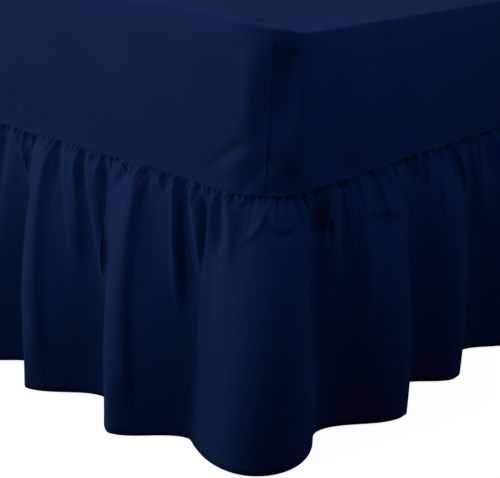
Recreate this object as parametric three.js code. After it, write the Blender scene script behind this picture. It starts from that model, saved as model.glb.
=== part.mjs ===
// A frilled fitted sheet on its mattress and bed base.
// Millimetres, +Z up. The origin is on the floor, under the middle of the whole part.
// The foot of the bed faces -Y, and the corner at +X, -Y is the one that was drawn from life.

import * as THREE from "three";

// Bed sizes
const BED_WIDTH = 1350;
const BED_LENGTH = 1900;
const CORNER_RADIUS = 90;
const BASE_INSET = 16;
const BASE_HEIGHT = 412;
const MATTRESS_RADIUS = 120;
const MATTRESS_RIM = 32;
const REST_GAP = 0.3;
const EDGE_GAP = 2.1;

// Sheet sizes
const CLOTH = 1.5;
const HEM_CLEARANCE = 5;
const FRILL_DROP = 410;
const WALL_HEIGHT = 235;
const EDGE_ROLL = 30;

const SEAM_HEIGHT = HEM_CLEARANCE + FRILL_DROP;
const TOP_HEIGHT = SEAM_HEIGHT + WALL_HEIGHT;

// Main folds at the drawn corner, crest and valley in turn. Each place is a distance along the
// seam, 0 at the middle of the corner, less than 0 on the foot side and more on the long side:
// top is where the fold leaves the seam, hem where it meets the hem, out its reach at the hem,
// and run the share of the way to the next fold in which the cloth crosses over.
const CORNER_FOLDS = [
  { top: -625, hem: -585, out: 98, run: 1 },
  { top: -496, hem: -473, out: 46, run: 0.75 },
  { top: -437, hem: -385, out: 105, run: 1 },
  { top: -300, hem: -288, out: 41, run: 0.65 },
  { top: -240, hem: -176, out: 111, run: 1 },
  { top: -104, hem: -79, out: 33, run: 1 },
  { top: 10, hem: -6, out: 97, run: 0.85 },
  { top: 104, hem: 114, out: 27, run: 1 },
  { top: 270, hem: 248, out: 101, run: 0.7 },
  { top: 362, hem: 354, out: 36, run: 1 },
  { top: 472, hem: 440, out: 93, run: 0.7 },
  { top: 570, hem: 557, out: 44, run: 1 },
];

// The other folds follow at this pitch, each a little wider or deeper than the last
const FOLD_PITCH = 206;
const PITCH_WANDER = 26;
const CREST_OUT = 99;
const VALLEY_OUT = 38;
const OUT_WANDER = 9;
const OTHER_RUN = 0.9;

// How a crest and a valley leave the seam, and how both move sideways: each swings away at once
// and hangs steeper lower down, more so with a larger number
const CREST_SWING = 2.3;
const VALLEY_SWING = 1.3;
const SIDE_SWING = 1.7;

// Gathers under the seam, each a pair of mesh steps wide and uneven in depth
const GATHER_DEPTH = 3.6;
const GATHER_START = 0.03;
const GATHER_FADE = 0.17;

// Mesh steps
const STEPS_PER_HALF_FOLD = 6;
const FRILL_LEVELS = [0, 0.03, 0.13, 0.34, 0.64, 1];
const SIDE_STEPS = 10;
const CORNER_STEPS = 12;
const WALL_LEVELS = [0, 0.06, 0.34, 0.62, 0.88];
const ROLL_STEPS = 3;
const TOP_INSETS = [60, 230, 520];
const INNER_RADIUS = 40;

// The ear, hollow and creases at each sewn corner of the sheet
const EAR_HEIGHT = 11;
const EAR_REACH = 9;
const EAR_WIDTH = 27;
const PEAK_REACH = 13;
const PEAK_WIDTH = 34;
const HOLLOW = { along: 20, up: 0.66, depth: 7, width: 34, height: 0.24 };
const SIDE_SWELL = 2;

const HALF_X = BED_WIDTH / 2;
const HALF_Y = BED_LENGTH / 2;
const STRAIGHT_X = BED_WIDTH - 2 * CORNER_RADIUS;
const STRAIGHT_Y = BED_LENGTH - 2 * CORNER_RADIUS;
const ARC = (Math.PI / 2) * CORNER_RADIUS;
const ROUND = 2 * (STRAIGHT_X + STRAIGHT_Y) + 4 * ARC;

const mix = (a, b, t) => a + (b - a) * t;
const bell = (x, width) => Math.exp(-((x / width) ** 2));
const wrap = (s) => ((s % ROUND) + ROUND) % ROUND;

// The seam's outline, a rectangle with round corners, as four straight runs and four arcs in
// turn, starting in the middle of the drawn corner's arc.
const RUNS = [
  { length: ARC / 2, centre: [1, -1], from: -45 },
  { length: STRAIGHT_Y, at: [1, -1], along: [0, 1] },
  { length: ARC, centre: [1, 1], from: 0 },
  { length: STRAIGHT_X, at: [1, 1], along: [-1, 0] },
  { length: ARC, centre: [-1, 1], from: 90 },
  { length: STRAIGHT_Y, at: [-1, 1], along: [0, -1] },
  { length: ARC, centre: [-1, -1], from: 180 },
  { length: STRAIGHT_X, at: [-1, -1], along: [1, 0] },
  { length: ARC / 2, centre: [1, -1], from: 270 },
];

// Point and outward direction at a distance along the seam
function outline(distance) {
  let left = wrap(distance);
  let run = RUNS[0];
  for (run of RUNS) {
    if (left <= run.length) break;
    left -= run.length;
  }
  if (run.centre) {
    const angle = THREE.MathUtils.degToRad(run.from) + left / CORNER_RADIUS;
    const nx = Math.cos(angle);
    const ny = Math.sin(angle);
    const cx = run.centre[0] * (HALF_X - CORNER_RADIUS);
    const cy = run.centre[1] * (HALF_Y - CORNER_RADIUS);
    return { x: cx + nx * CORNER_RADIUS, y: cy + ny * CORNER_RADIUS, nx, ny };
  }
  const [ax, ay] = run.along;
  const nx = ay;
  const ny = -ax;
  const startX = ax === 0 ? run.at[0] * HALF_X : run.at[0] * (HALF_X - CORNER_RADIUS);
  const startY = ay === 0 ? run.at[1] * HALF_Y : run.at[1] * (HALF_Y - CORNER_RADIUS);
  return { x: startX + ax * left, y: startY + ay * left, nx, ny };
}

// Point of a smaller outline, moved in by an inset and rounded with its own radius
function insetPoint(p, inset, radius, z) {
  const shrunk = (centre, half) => (centre / (half - CORNER_RADIUS)) * (half - inset - radius);
  const x = shrunk(p.x - p.nx * CORNER_RADIUS, HALF_X) + p.nx * radius;
  const y = shrunk(p.y - p.ny * CORNER_RADIUS, HALF_Y) + p.ny * radius;
  return [x, y, z];
}

// All folds round the bed: the drawn ones, then evenly varied ones up to where those began
function allFolds() {
  const last = CORNER_FOLDS[CORNER_FOLDS.length - 1];
  const span = CORNER_FOLDS[0].hem + ROUND - last.hem;
  const halves = 2 * Math.round(span / FOLD_PITCH - 0.5) + 1;
  const folds = [...CORNER_FOLDS];
  for (let i = 1; i < halves; i++) {
    const crest = i % 2 === 1;
    const hem = last.hem + (span * i) / halves + PITCH_WANDER * Math.sin(2.4 * i + 0.7);
    const top = hem + 0.6 * PITCH_WANDER * Math.sin(3.7 * i);
    const out = (crest ? CREST_OUT : VALLEY_OUT) + OUT_WANDER * Math.sin(1.9 * i + 1.1);
    folds.push({ top, hem, out, run: OTHER_RUN });
  }
  return folds;
}

// Closed shell from rings of outer points and matching inner points. Rings run from the open
// edge upwards; cap, where given, holds the triangles that close the last ring of each skin.
// Both skins cut their quads along the same diagonal, so they stay a cloth's thickness apart.
function shell(name, outer, inner, cap, material) {
  const count = outer[0].length;
  const positions = [...outer, ...inner].flat(2);
  const layers = outer.length;
  const faces = [];
  const quad = (a, b, c, d) => faces.push(a, b, c, a, c, d);
  const at = (skin, level, i) => (skin * layers + level) * count + (i % count);
  for (let i = 0; i < count; i++) {
    for (let level = 0; level < layers - 1; level++) {
      quad(at(0, level, i), at(0, level, i + 1), at(0, level + 1, i + 1), at(0, level + 1, i));
      quad(at(1, level, i), at(1, level + 1, i), at(1, level + 1, i + 1), at(1, level, i + 1));
    }
    quad(at(0, 0, i + 1), at(0, 0, i), at(1, 0, i), at(1, 0, i + 1));
    if (!cap) {
      const top = layers - 1;
      quad(at(0, top, i), at(0, top, i + 1), at(1, top, i + 1), at(1, top, i));
    }
  }
  for (const [a, b, c] of cap ?? []) {
    faces.push(at(0, layers - 1, a), at(0, layers - 1, b), at(0, layers - 1, c));
    faces.push(at(1, layers - 1, a), at(1, layers - 1, c), at(1, layers - 1, b));
  }
  return meshOf(name, positions, faces, material);
}

// Named mesh from a flat list of coordinates and a list of corner numbers
function meshOf(name, positions, faces, material) {
  const geometry = new THREE.BufferGeometry();
  geometry.setAttribute("position", new THREE.Float32BufferAttribute(positions, 3));
  geometry.setIndex(faces);
  geometry.computeVertexNormals();
  const mesh = new THREE.Mesh(geometry, material);
  mesh.name = name;
  return mesh;
}

// Ring of points moved inwards, level with themselves, by the cloth's thickness
function thicken(ring) {
  const count = ring.length;
  return ring.map(([x, y, z], i) => {
    const [ax, ay] = ring[(i + count - 1) % count];
    const [bx, by] = ring[(i + 1) % count];
    const length = Math.hypot(bx - ax, by - ay);
    return [x - ((by - ay) / length) * CLOTH, y + ((bx - ax) / length) * CLOTH, z];
  });
}

// Plain base with round upright corners, standing on its flat lower face
function divanBase(material) {
  const x = HALF_X - BASE_INSET;
  const y = HALF_Y - BASE_INSET;
  const r = CORNER_RADIUS - BASE_INSET;
  const shape = new THREE.Shape();
  shape.absarc(x - r, -y + r, r, -Math.PI / 2, 0, false);
  shape.absarc(x - r, y - r, r, 0, Math.PI / 2, false);
  shape.absarc(-x + r, y - r, r, Math.PI / 2, Math.PI, false);
  shape.absarc(-x + r, -y + r, r, Math.PI, Math.PI * 1.5, false);
  const options = { depth: BASE_HEIGHT, bevelEnabled: false, curveSegments: 8 };
  const mesh = new THREE.Mesh(new THREE.ExtrudeGeometry(shape, options), material);
  mesh.name = "divan_base";
  return mesh;
}

// Plain mattress: a block whose upper rim is rounded, so that the sheet can roll over it
function mattress(material) {
  const side = CLOTH + EDGE_GAP;
  const bottom = BASE_HEIGHT + REST_GAP;
  const top = TOP_HEIGHT - CLOTH - REST_GAP;
  const rows = [[side, bottom]];
  for (let i = 0; i <= ROLL_STEPS; i++) {
    const angle = (Math.PI / 2) * (i / ROLL_STEPS);
    rows.push([side + MATTRESS_RIM * (1 - Math.cos(angle)), top - MATTRESS_RIM * (1 - Math.sin(angle))]);
  }
  const outlines = wallPlaces().map(outline);
  const rings = rows.map(([inset, z]) => (
    outlines.map((p) => insetPoint(p, inset, MATTRESS_RADIUS + side - inset, z))
  ));
  const count = outlines.length;
  const last = (rings.length - 1) * count;
  const faces = [];
  for (let start = 0; start < last; start += count) {
    for (let i = 0; i < count; i++) {
      const a = start + i;
      const b = start + ((i + 1) % count);
      faces.push(a, b, b + count, a, b + count, a + count);
    }
  }
  for (const [a, b, c] of flatFaces(rings[0])) {
    faces.push(a, c, b, last + a, last + b, last + c);
  }
  return meshOf("mattress", rings.flat(2), faces, material);
}

// Triangles that fill a ring seen from above
function flatFaces(ring) {
  const contour = ring.map(([x, y]) => new THREE.Vector2(x, y));
  return THREE.ShapeUtils.triangulateShape(contour, []);
}

// Places along the seam at which the sheet's walls are sampled, closer together at the corners
function wallPlaces() {
  const places = [];
  let start = 0;
  RUNS.forEach((run) => {
    const whole = run.centre ? CORNER_STEPS : SIDE_STEPS;
    const steps = run.length < ARC ? whole / 2 : whole;
    for (let i = 0; i < steps; i++) places.push(start + (run.length * i) / steps);
    start += run.length;
  });
  return places;
}

// Distance along the seam from the nearest corner's middle
function fromCorner(s) {
  const quarter = [0, ARC + STRAIGHT_Y, 2 * ARC + STRAIGHT_Y + STRAIGHT_X];
  quarter.push(3 * ARC + 2 * STRAIGHT_Y + STRAIGHT_X, ROUND);
  const offsets = quarter.map((q) => wrap(s) - q);
  return offsets.reduce((a, b) => (Math.abs(b) < Math.abs(a) ? b : a));
}

// Top and four walls in one piece, with a small ear and a hollow at each sewn corner
function fittedPanel(material) {
  const places = wallPlaces();
  const wallTop = WALL_HEIGHT - EDGE_ROLL;
  const wallRing = (t, extra) => places.map((s) => {
    const p = outline(s);
    const c = fromCorner(s);
    const swell = SIDE_SWELL * Math.sin(Math.PI * t) * (1 - bell(c, 120));
    const peak = PEAK_REACH * Math.exp(-Math.abs(c) / PEAK_WIDTH) * Math.min(3 * t, 1);
    const ear = EAR_REACH * bell(c, EAR_WIDTH) * t ** 2 + peak;
    const dent = HOLLOW.depth * bell(c - HOLLOW.along, HOLLOW.width) * bell(t - HOLLOW.up, HOLLOW.height);
    const out = swell + ear - dent - extra;
    return [p.x + p.nx * out, p.y + p.ny * out, SEAM_HEIGHT + wallTop * t];
  });
  const rollRing = (angle, extra) => places.map((s) => {
    const p = outline(s);
    const c = fromCorner(s);
    const r = EDGE_ROLL - extra;
    const ear = bell(c, EAR_WIDTH);
    const peak = PEAK_REACH * Math.exp(-Math.abs(c) / PEAK_WIDTH);
    const out = (EAR_REACH * ear + peak) * Math.cos(angle) - EDGE_ROLL + r * Math.cos(angle);
    const lift = EAR_HEIGHT * ear * Math.sin(angle) ** 2;
    const z = SEAM_HEIGHT + wallTop + r * Math.sin(angle) + lift;
    return [p.x + p.nx * out, p.y + p.ny * out, z];
  });
  const topRing = (inset, extra) => places.map((s) => {
    const lift = EAR_HEIGHT * bell(fromCorner(s), EAR_WIDTH) * bell(inset - EDGE_ROLL, 30);
    const radius = Math.max(CORNER_RADIUS - inset, INNER_RADIUS);
    return insetPoint(outline(s), inset, radius, TOP_HEIGHT - extra + lift);
  });
  const skin = (extra) => {
    const rings = WALL_LEVELS.map((t) => wallRing(t, extra));
    for (let i = 0; i <= ROLL_STEPS; i++) {
      rings.push(rollRing((Math.PI / 2) * (i / ROLL_STEPS), extra));
    }
    TOP_INSETS.forEach((inset) => rings.push(topRing(inset, extra)));
    return rings;
  };
  const outer = skin(0);
  const cap = flatFaces(outer[outer.length - 1]);
  return shell("fitted_panel", outer, skin(CLOTH), cap, material);
}

// Reach of a fold at a share t of the drop
function reachAt(fold, t) {
  const crest = fold.out > (CREST_OUT + VALLEY_OUT) / 2;
  return fold.out * (1 - (1 - t) ** (crest ? CREST_SWING : VALLEY_SWING));
}

// Depth of the gather at one mesh step, in and out in turn
function gatherAt(step, t) {
  const depth = GATHER_DEPTH * (0.65 + 0.35 * Math.sin(2.3 * step));
  const fade = Math.min(t / GATHER_START, 1) * Math.exp(-t / GATHER_FADE);
  return depth * fade * (step % 2 === 0 ? 1 : -1);
}

// One long gathered strip, closed into a ring, that hangs from the seam in deep uneven folds
function frill(material) {
  const folds = allFolds();
  const ringAt = (t) => folds.flatMap((fold, i) => {
    const next = folds[(i + 1) % folds.length];
    const turn = i === folds.length - 1 ? ROUND : 0;
    const steps = [...Array(STEPS_PER_HALF_FOLD).keys()];
    return steps.map((k) => {
      const share = k / STEPS_PER_HALF_FOLD;
      const moved = 1 - (1 - t) ** SIDE_SWING;
      const from = mix(fold.top, fold.hem, moved);
      const to = mix(next.top, next.hem, moved) + turn;
      const crossed = THREE.MathUtils.clamp((share - 0.5) / fold.run + 0.5, 0, 1);
      const soft = 0.5 - 0.5 * Math.cos(Math.PI * crossed);
      const gather = gatherAt(i * STEPS_PER_HALF_FOLD + k, t);
      const out = mix(reachAt(fold, t), reachAt(next, t), soft) + gather;
      const p = outline(mix(from, to, share));
      return [p.x + p.nx * out, p.y + p.ny * out, SEAM_HEIGHT - mix(REST_GAP, FRILL_DROP, t)];
    });
  });
  const outer = [...FRILL_LEVELS].reverse().map(ringAt);
  return shell("frill", outer, outer.map(thicken), null, material);
}

const navy = () => new THREE.MeshStandardMaterial({ color: 0x14244a, roughness: 0.85, metalness: 0 });
const ticking = new THREE.MeshStandardMaterial({ color: 0xd9d6cf, roughness: 0.9, metalness: 0 });
const baseCloth = new THREE.MeshStandardMaterial({ color: 0x8d8880, roughness: 0.95, metalness: 0 });

const part = new THREE.Group();
part.add(divanBase(baseCloth));
part.add(mattress(ticking));
part.add(fittedPanel(navy()));
part.add(frill(navy()));

// The folds are uneven, so the whole is moved to put the middle of its box over the origin
const middle = new THREE.Box3().setFromObject(part).getCenter(new THREE.Vector3());
part.position.set(-middle.x, -middle.y, 0);

export default part;
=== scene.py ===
"""Frilled fitted sheet on its mattress and bed base: its surfaces, cloth, light and camera.

Sizes are in millimetres, and become metres where a mesh is made. The seam is the line where the
frill is sewn to the sheet's walls. A place on the sheet is given by its distance along the seam:
0 in the middle of the drawn corner (+X, -Y), less than 0 on the foot side, more on the long side.
Folds and creases near the drawn corner are listed one by one, and the rest are worked out.
"""

import bmesh
import bpy
import numpy as np
from mathutils import Matrix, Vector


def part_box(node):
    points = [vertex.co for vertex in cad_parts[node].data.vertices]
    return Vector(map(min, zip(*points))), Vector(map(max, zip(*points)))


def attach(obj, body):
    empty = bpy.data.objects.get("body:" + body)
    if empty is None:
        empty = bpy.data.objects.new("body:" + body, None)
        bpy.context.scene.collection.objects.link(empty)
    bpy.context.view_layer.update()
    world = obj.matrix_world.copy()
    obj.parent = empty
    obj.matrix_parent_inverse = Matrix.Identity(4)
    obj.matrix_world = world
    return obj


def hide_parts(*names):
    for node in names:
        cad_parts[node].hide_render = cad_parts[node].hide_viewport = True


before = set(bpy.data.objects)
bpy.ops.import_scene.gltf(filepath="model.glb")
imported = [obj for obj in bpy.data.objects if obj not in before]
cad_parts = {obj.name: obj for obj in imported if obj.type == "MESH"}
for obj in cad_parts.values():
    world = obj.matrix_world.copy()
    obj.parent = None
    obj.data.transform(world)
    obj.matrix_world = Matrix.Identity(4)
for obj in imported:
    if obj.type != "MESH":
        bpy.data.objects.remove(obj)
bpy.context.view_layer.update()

MM = 0.001

# Bed, from its solids: the sheet's solid is a little thicker than its cloth
CORNER_RADIUS = 90
BASE_INSET = 16
SOLID_CLOTH = 1.8
base_low, base_high = (np.array(corner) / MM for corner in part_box("divan_base"))
CENTRE = (base_low + base_high)[:2] / 2
HALF = (base_high - base_low)[:2] / 2 + BASE_INSET
SEAM_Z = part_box("fitted_panel")[0].z / MM
HEM_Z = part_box("frill")[0].z / MM
TOP_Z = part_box("mattress")[1].z / MM + SOLID_CLOTH
FRILL_DROP = SEAM_Z - HEM_Z
WALL_HEIGHT = TOP_Z - SEAM_Z

# Outline of the seam: straight runs and quarter circles in turn, from the drawn corner's middle
STRAIGHT = 2 * (HALF - CORNER_RADIUS)
ARC = np.pi / 2 * CORNER_RADIUS
RUNS = [ARC / 2, STRAIGHT[1], ARC, STRAIGHT[0], ARC, STRAIGHT[1], ARC, STRAIGHT[0], ARC / 2]
RUN_ENDS = np.cumsum([0, *RUNS])
RUN_ANGLES = np.radians([-45, 0, 0, 90, 90, 180, 180, 270, 270, 315])
RUN_SIDE_X = [1, 1, 1, 1, -1, -1, -1, -1, 1, 1]
RUN_SIDE_Y = [-1, -1, 1, 1, 1, 1, -1, -1, -1, -1]
ROUND = RUN_ENDS[-1]
CORNERS = np.array([0, *(RUN_ENDS[[2, 4, 6]] + RUN_ENDS[[3, 5, 7]]) / 2, ROUND])

# Main folds at the drawn corner, crest and valley in turn: where each leaves the seam, where it
# meets the hem, how far it stands out there, and the share of the way to the next fold in which
# the cloth crosses over, less where it turns more sharply
CORNER_FOLDS = [
    {"top": -572, "hem": -532, "out": 82, "run": 1},
    {"top": -504, "hem": -468, "out": 34, "run": 1},
    {"top": -462, "hem": -398, "out": 104, "run": 1},
    {"top": -312, "hem": -284, "out": 33, "run": 1},
    {"top": -266, "hem": -191, "out": 111, "run": 1},
    {"top": -98, "hem": -88, "out": 34, "run": 1},
    {"top": 10, "hem": -6, "out": 97, "run": 0.85},
    {"top": 104, "hem": 114, "out": 27, "run": 1},
    {"top": 270, "hem": 248, "out": 101, "run": 0.7},
    {"top": 362, "hem": 354, "out": 36, "run": 1},
    {"top": 472, "hem": 440, "out": 93, "run": 0.7},
    {"top": 570, "hem": 557, "out": 44, "run": 1},
]

# Main folds elsewhere: their pitch and reach, and how far these wander
FOLD_PITCH = 206
PITCH_WANDER = 26
CREST_OUT = 99
VALLEY_OUT = 38
OUT_WANDER = 9
OTHER_RUN = 0.9

# Powers with which crests, valleys and the folds' places swing out towards the hem, and how
# straight the flanks are at the seam and how much of that they have lost at the hem
CREST_SWING = 2.3
VALLEY_SWING = 1.3
SIDE_SWING = 1.7
STRAIGHTNESS = 0.65
STRAIGHTNESS_LOST = 0.6

# Stretch of the seam whose creases are listed one by one, and how far outside and inside its ends
# the gathers change over
DRAWN_FROM = -640
DRAWN_TO = 700
CHANGE_OUTSIDE = 60
CHANGE_INSIDE = 20

# Frill's mesh: column steps in that stretch and elsewhere, rows, rows that have every column,
# and the first row's drop as a share of an even one
DRAWN_STEP = 1.45
OTHER_STEP = 4.5
FRILL_ROWS = 60
FINE_ROWS = 25
FIRST_ROW = 0.333


def crease(start, end, height, width, left=1, bow=0, fade=0.6):
    """Listed crease: a ridge where height is more than 0, a trough where it is less. It
    bows to its right by bow in the middle. Width is that of its right flank, and width times left
    that of its left one. It fades out from the share of its length called fade."""
    return {"start": start, "end": end, "height": height, "width": width, "left": left,
            "bow": bow, "fade": fade}


# Creases on the frill, from one place to another: distance along the seam and drop below it
FRILL_CREASES = [
    crease((-582, 2), (-520, 300), height=4, width=12, left=0.8),
    crease((-562, 2), (-530, 240), height=-8, width=11, fade=0.5),
    crease((-547, 1), (-488, 66), height=7, width=9, left=0.5, fade=0.5),
    crease((-519, 1), (-474, 112), height=6, width=9, left=0.5, bow=-3, fade=0.5),
    crease((-466, 3), (-478, 58), height=3, width=8, left=0.8, fade=0.5),
    crease((-445, 2), (-370, 370), height=12, width=9, left=2.4, bow=4, fade=0.8),
    crease((-427, 1), (-404, 74), height=-6.5, width=7, left=0.8, fade=0.5),
    crease((-414, 1), (-345, 196), height=6, width=12, left=0.3, bow=6),
    crease((-386, 4), (-336, 200), height=10, width=6, left=2.5, bow=7, fade=0.55),
    crease((-374, 2), (-350, 72), height=-6, width=6, left=0.8, fade=0.5),
    crease((-363, 2), (-283, 250), height=6, width=12, left=0.3, bow=6, fade=0.5),
    crease((-338, 1), (-281, 240), height=8, width=9, left=1.8, fade=0.5),
    crease((-326, 1), (-310, 60), height=-6, width=6, left=0.8, fade=0.5),
    crease((-312, 1), (-309, 26), height=4, width=5, left=0.8, fade=0.5),
    crease((-284, 5), (-287, 235), height=5, width=11, left=0.5, bow=-13),
    crease((-267, 8), (-276, 44), height=-6, width=9, bow=3),
    crease((-280, 3), (-243, 12), height=3.5, width=5, bow=-2, fade=0.7),
    crease((-252, 24), (-282, 74), height=3.5, width=7),
    crease((-236, 2), (-165, 370), height=14, width=9, left=2.8, bow=4, fade=0.8),
    crease((-226, 1), (-206, 62), height=-6.5, width=9, left=0.8, fade=0.5),
    crease((-190, 1), (-184, 44), height=-6, width=8, left=0.8, fade=0.5),
    crease((-203, 1), (-178, 48), height=5.5, width=7, left=0.5, bow=2, fade=0.5),
    crease((-190, 20), (-168, 200), height=-5, width=26, left=0.8, fade=0.5),
    crease((-166, 1), (-118, 212), height=10, width=9, left=0.5, fade=0.65),
    crease((-150, 6), (-106, 196), height=-9, width=9, left=0.8, fade=0.75),
    crease((-130, 1), (-78, 190), height=10, width=12, left=0.6, bow=3, fade=0.45),
    crease((-103, 8), (-85, 140), height=-5, width=7, left=0.9),
    crease((-108, 1), (-88, 46), height=4, width=5, left=0.7),
    crease((-91, 2), (-55, 350), height=7, width=12, left=0.3),
    crease((-76, 12), (-62, 98), height=-6, width=10, left=0.8, bow=2, fade=0.7),
    crease((-66, 1), (-46, 112), height=7, width=8, left=1.1, bow=10),
    crease((-50, 3), (-30, 3), height=3, width=4, bow=-10, fade=0.9),
    crease((-30, 12), (-32, 84), height=-3, width=13, bow=2),
    crease((1, 1), (-38, 72), height=3.8, width=3, left=1.2, bow=9, fade=0.8),
    crease((3, 2), (29, 54), height=2.4, width=4, bow=5, fade=0.7),
    crease((-2, 38), (42, 40), height=-4.2, width=6, bow=-16, fade=0.7),
    crease((74, 4), (46, 130), height=4, width=5, left=1.8, fade=0.7),
    crease((84, 30), (78, 360), height=-15, width=30, left=0.9),
    crease((90, 4), (106, 92), height=-7, width=15, left=0.7, fade=0.7),
    crease((134, 2), (118, 86), height=6, width=7, left=0.6, bow=-6),
    crease((128, 58), (126, 98), height=-4.5, width=5, left=0.8),
    crease((158, 4), (152, 170), height=-6, width=14, left=0.8, fade=0.5),
    crease((205, 2), (184, 260), height=6, width=13, left=1.1, fade=0.5),
    crease((246, 1), (225, 60), height=-6, width=9, bow=-2, fade=0.85),
    crease((262, 1), (246, 66), height=7, width=11, left=0.45, bow=-3, fade=0.8),
    crease((294, 2), (286, 58), height=5, width=13, left=0.8, fade=0.8),
    crease((214, 54), (304, 70), height=6, width=22, left=0.32, bow=-3, fade=0.85),
    crease((312, 2), (300, 150), height=7, width=9, left=0.9, bow=15),
    crease((360, 1), (346, 42), height=-5, width=5, fade=0.7),
    crease((374, 1), (356, 44), height=-6, width=6, fade=0.7),
    crease((392, 1), (372, 40), height=5, width=7, left=0.6),
    crease((409, 1), (378, 48), height=-6, width=6, fade=0.7),
    crease((424, 1), (400, 60), height=5, width=9, left=0.7),
    crease((446, 2), (434, 110), height=4, width=10, left=0.7),
    crease((462, 1), (430, 52), height=-5, width=7),
    crease((484, 1), (500, 84), height=-9, width=13, left=0.8, fade=0.7),
    crease((505, 1), (532, 100), height=9, width=9, left=0.5, fade=0.7),
    crease((536, 4), (534, 30), height=-4, width=6, fade=0.5),
    crease((556, 4), (550, 30), height=-4, width=6, fade=0.5),
    crease((590, 2), (590, 210), height=6, width=20, left=0.7, fade=0.5),
    crease((624, 1), (614, 70), height=-10, width=12, left=0.8, fade=0.7),
    crease((655, 1), (640, 190), height=7, width=16, left=0.6, fade=0.5),
    crease((690, 1), (682, 120), height=-7, width=14, left=0.8, fade=0.5),
]

# Creases on the walls beside each sewn corner: distance from the corner, less than 0 on the short
# side, and height above the seam
WALL_CREASES = [
    crease((-42, 78), (-114, 18), height=-3.4, width=8, fade=0.5),
    crease((-26, 70), (-76, 16), height=1.7, width=9, fade=0.5),
    crease((-4, 54), (-42, 0), height=-2.2, width=9, fade=0.85),
    crease((-4, 58), (54, 10), height=-2, width=11, fade=0.7),
    crease((150, 14), (194, 28), height=-1.6, width=9),
    crease((384, 22), (446, 16), height=-1.8, width=14),
    crease((-451, 64), (-434, 30), height=-1.4, width=9),
    crease((-542, 56), (-526, 12), height=-1.6, width=9),
    crease((-522, 48), (-508, 14), height=1.2, width=8),
]

# Share of the wall creases' height that is left at the other corners, the share of a crease's
# length that is its head, and how softly its head and tail fade
OTHER_CREASES = 0.75
CREASE_HEAD = 0.12
CREASE_HEAD_FADE = 1.1
CREASE_TAIL_FADE = 0.62

# Gathers under the seam, in tiers: many short fine pleats, then fewer, wider and longer ones.
# Short and long are the drops over which they fade, and drawn is their weight in the stretch
# whose creases are listed one by one.
GATHER_TIERS = [
    {"pitch": 8, "height": 6.2, "start": 0, "short": 5, "long": 14, "drawn": 1.0},
    {"pitch": 19, "height": 7.5, "start": 1, "short": 10, "long": 50, "drawn": 0.75},
    {"pitch": 67, "height": 9.0, "start": 14, "short": 90, "long": 300, "drawn": 0.0},
]
PLEAT_UNEVENNESS = 0.5
PLEAT_HEIGHTS = (0.45, 1.25)
PLEAT_SLANT = 0.12
PLEAT_MEAN = 0.64

# Frill's head: how far it tucks in at the seam, the share of its relief that is left there, and
# how far it is pinched in just below, with the drops between which the pinch grows and fades
HEAD_TUCK = 0.5
TUCK_DROP = 4
HEAD_RELIEF = 0.4
HEAD_PINCH = 3.2
PINCH_UNEVENNESS = 0.6
PINCH_PITCH = 38
PINCH_GROWS = (0, 5)
PINCH_FADES = (7, 26)

# Furthest that troughs reach in at the seam, and lower down, short of the bed base, with the
# drops between which one gives way to the other
HEAD_LIMIT = 1.2
TROUGH_LIMIT = 12
LIMIT_CHANGES = (2, 13)

# Slow waves in the frill's face, how far they slant, and the drops between which they begin
FACE_WAVES = [{"height": 0.7, "length": 150}]
FACE_WAVE_SLANT = 0.2
FACE_WAVES_BEGIN = (60, 200)

# Frill's hem, turned under and up inside: distances in from its lowest ring and heights above it
HEM_DEPTH = 14
HEM_TURN = [(0.5, -0.35), (1.1, 0.3), (1.4, HEM_DEPTH)]

# Panel's lower edge, turned round inside the seam: distances out from the seam and heights
EDGE_TURN = [(-3.2, 9), (-2.8, 2), (-1.9, -0.5), (-0.5, -1.3), (0.7, -0.6), (1.0, 0.9)]

# Panel's mesh: rows of the wall, of the rolled edge and of the top, with the power that draws the
# top's rows towards its edge, and widths of columns along the sides, near corners and at seams
WALL_ROWS = 46
ROLL_ROWS = 14
TOP_ROWS = 31
TOP_SPREAD = 1.8
SIDE_COLUMN = 9.5
CORNER_COLUMN = 3.6
SEAM_COLUMN = 1.2
COLUMNS_NARROW = (130, 260)
SEAM_COLUMNS_WIDTH = 8
MERGE_DISTANCE = 0.9

# Wall: its lowest row's height, how far it stands out there and the height over which that goes,
# and its swell along the sides, which is gone near the corners
WALL_FOOT = 3.5
FOOT_OUT = 0.9
FOOT_RISE = 6
SIDE_SWELL = 2
SWELL_BEGINS = 120

# Top edge of the short and the long sides: over its last stretch the wall leans in, and then it
# rolls over in part of an ellipse. Both are gone at the corners, where only the ear's roll is left.
LEAN_DROP = 44
SHORT_EDGE = {"lean": 8, "roll_in": 22, "roll_up": 6}
LONG_EDGE = {"lean": 6, "roll_in": 2, "roll_up": 2}
EDGE_BEGINS = 70
EAR_ROLL = 3

# Ear: the raised tip at each sewn corner. From it the rim climbs further along the short sides
# and sinks again towards their middles, and on the long sides it falls at once.
EAR_HEIGHT = 11
EAR_WIDTH = 27
EAR_REACH = 3
RIM_HEIGHT = 21
RIM_CLIMBS = (0, 105)
RIM_SINKS = (200, 520)
RIM_SUNK = 0.7
LONG_RIM_HEIGHT = 3
LIFT_BEGINS = 130
LIFT_REACH = 70
INNER_RADIUS = 40

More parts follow.
